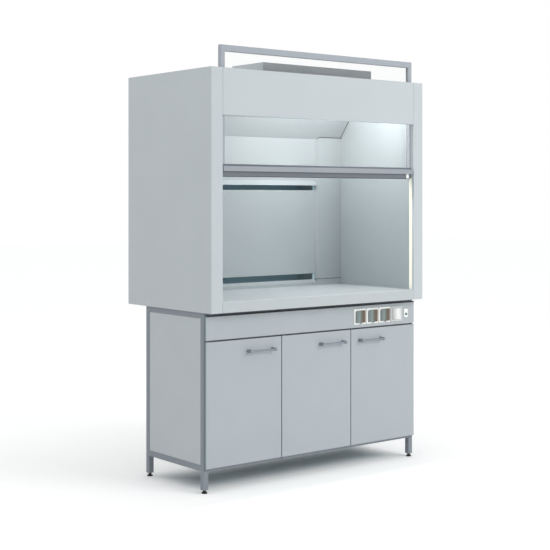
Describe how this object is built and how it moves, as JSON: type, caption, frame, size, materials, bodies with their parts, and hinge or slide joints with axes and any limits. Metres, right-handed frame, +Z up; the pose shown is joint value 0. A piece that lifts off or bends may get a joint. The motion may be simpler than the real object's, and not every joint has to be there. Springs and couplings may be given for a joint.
{
  "type": "fume hood",
  "caption": "Bench-height fume hood: counterbalanced vertical sash, slotted baffle and roof duct collar over a tube-framed cupboard with lidded sockets.",
  "frame": {"origin": "on the floor, at the centre of the hood's width and depth", "axes": "+X to the right seen from the front, +Y to the rear, +Z up"},
  "size_m": [1.5, 0.778, 2.273],
  "materials": {
    "frame_steel": "powder coated, satin",
    "panel_steel": "powder coated, satin",
    "liner_steel": "epoxy coated, satin",
    "door_board": "melamine faced board, satin",
    "cabinet_board": "melamine faced board, satin",
    "worktop_resin": "cast resin, satin",
    "baffle_laminate": "compact laminate, satin",
    "handle_steel": "brushed",
    "bracket_steel": "zinc plated",
    "foot_plastic": "moulded, matt",
    "white_plastic": "moulded, gloss",
    "smoked_plastic": "smoked, gloss",
    "rocker_plastic": "moulded, satin",
    "green_plastic": "moulded, gloss",
    "guide_plastic": "extruded, satin",
    "sash_aluminium": "anodised, satin",
    "rail_aluminium": "powder coated, satin",
    "grip_aluminium": "anodised, satin",
    "clear_glass": "clear",
    "weight_steel": "mill finish",
    "pulley_plastic": "turned",
    "cable_steel": "stranded",
    "collar_steel": "galvanised"
  },
  "bodies": {
    "hood": {"side_frame_left": "frame_steel", "side_frame_right": "frame_steel", "cross_rails": "frame_steel", "levelling_feet": "foot_plastic", "side_panel_left": "door_board", "side_panel_right": "door_board", "cabinet_floor": "cabinet_board", "cabinet_top": "cabinet_board", "cabinet_back": "cabinet_board", "cabinet_dividers": "cabinet_board", "apron": "door_board", "door_pivots": "bracket_steel", "socket_frame_left": "white_plastic", "socket_frame_middle": "white_plastic", "socket_frame_right": "white_plastic", "socket_inserts": "white_plastic", "light_switch_frame": "rocker_plastic", "button_plate": "white_plastic", "cheek_left": "panel_steel", "cheek_right": "panel_steel", "liner_left": "liner_steel", "liner_right": "liner_steel", "worktop": "worktop_resin", "fascia": "panel_steel", "roof": "panel_steel", "back_panel": "panel_steel", "baffle_sides": "baffle_laminate", "baffle_bottom": "baffle_laminate", "baffle_middle": "baffle_laminate", "baffle_upper": "baffle_laminate", "baffle_slope": "baffle_laminate", "baffle_posts": "bracket_steel", "lamp_box": "panel_steel", "lamp_window": "clear_glass", "lamp_tube": "clear_glass", "exhaust_collar": "collar_steel", "sash_guides": "guide_plastic", "pulley_yokes": "bracket_steel", "sash_cables": "cable_steel", "upper_pane": "clear_glass", "pane_channels": "sash_aluminium"},
    "sash": {"sash_frame": "sash_aluminium", "sash_bottom_rail": "rail_aluminium", "sash_glass": "clear_glass", "sash_grip": "grip_aluminium", "sash_shoes": "guide_plastic"},
    "counterweights": {"counterweights": "weight_steel"},
    "pulley_left": {"pulley_left": "pulley_plastic"},
    "pulley_right": {"pulley_right": "pulley_plastic"},
    "door_left": {"door_left": "door_board", "handle_left": "handle_steel"},
    "door_middle": {"door_middle": "door_board", "handle_middle": "handle_steel"},
    "door_right": {"door_right": "door_board", "handle_right": "handle_steel"},
    "socket_lid_left": {"socket_lid_left": "smoked_plastic"},
    "socket_lid_middle": {"socket_lid_middle": "smoked_plastic"},
    "socket_lid_right": {"socket_lid_right": "smoked_plastic"},
    "light_rocker": {"light_rocker": "rocker_plastic"},
    "fan_button": {"fan_button": "green_plastic"}
  },
  "joints": [
    {"name": "sash_slide", "type": "slide", "parent": "hood", "child": "sash", "axis": [0, 0, 1], "range_m": [-0.63, 0], "deforming": ["sash_cables"]},
    {"name": "counterweight_slide", "type": "slide", "parent": "hood", "child": "counterweights", "axis": [0, 0, 1], "range_m": [0, 0.63]},
    {"name": "pulley_left_spin", "type": "hinge", "parent": "hood", "child": "pulley_left", "pos_m": [-0.701, -0.362, 2.126], "axis": [0, 1, 0], "range_deg": [0, 1810]},
    {"name": "pulley_right_spin", "type": "hinge", "parent": "hood", "child": "pulley_right", "pos_m": [0.701, -0.362, 2.126], "axis": [0, 1, 0], "range_deg": [-1810, 0]},
    {"name": "door_left_hinge", "type": "hinge", "parent": "hood", "child": "door_left", "pos_m": [-0.7325, -0.322, 0.44675], "axis": [0, 0, -1], "range_deg": [0, 105]},
    {"name": "door_middle_hinge", "type": "hinge", "parent": "hood", "child": "door_middle", "pos_m": [-0.24017, -0.322, 0.44675], "axis": [0, 0, -1], "range_deg": [0, 105]},
    {"name": "door_right_hinge", "type": "hinge", "parent": "hood", "child": "door_right", "pos_m": [0.7325, -0.322, 0.44675], "axis": [0, 0, 1], "range_deg": [0, 105]},
    {"name": "socket_lid_left_hinge", "type": "hinge", "parent": "hood", "child": "socket_lid_left", "pos_m": [0.311, -0.3373, 0.867], "axis": [-1, 0, 0], "range_deg": [0, 100]},
    {"name": "socket_lid_middle_hinge", "type": "hinge", "parent": "hood", "child": "socket_lid_middle", "pos_m": [0.405, -0.3373, 0.867], "axis": [-1, 0, 0], "range_deg": [0, 100]},
    {"name": "socket_lid_right_hinge", "type": "hinge", "parent": "hood", "child": "socket_lid_right", "pos_m": [0.499, -0.3373, 0.867], "axis": [-1, 0, 0], "range_deg": [0, 100]},
    {"name": "light_rocker_tilt", "type": "hinge", "parent": "hood", "child": "light_rocker", "pos_m": [0.593, -0.3315, 0.836], "axis": [1, 0, 0], "range_deg": [0, 6]},
    {"name": "fan_button_press", "type": "slide", "parent": "hood", "child": "fan_button", "axis": [0, 1, 0], "range_m": [0, 0.002], "stiffness_N_per_m": 400}
  ],
  "couplings": [
    {"joint": "counterweight_slide", "follows": "sash_slide", "ratio": -1},
    {"joint": "pulley_left_spin", "follows": "sash_slide", "rad_per_m": -50},
    {"joint": "pulley_right_spin", "follows": "sash_slide", "rad_per_m": 50}
  ]
}
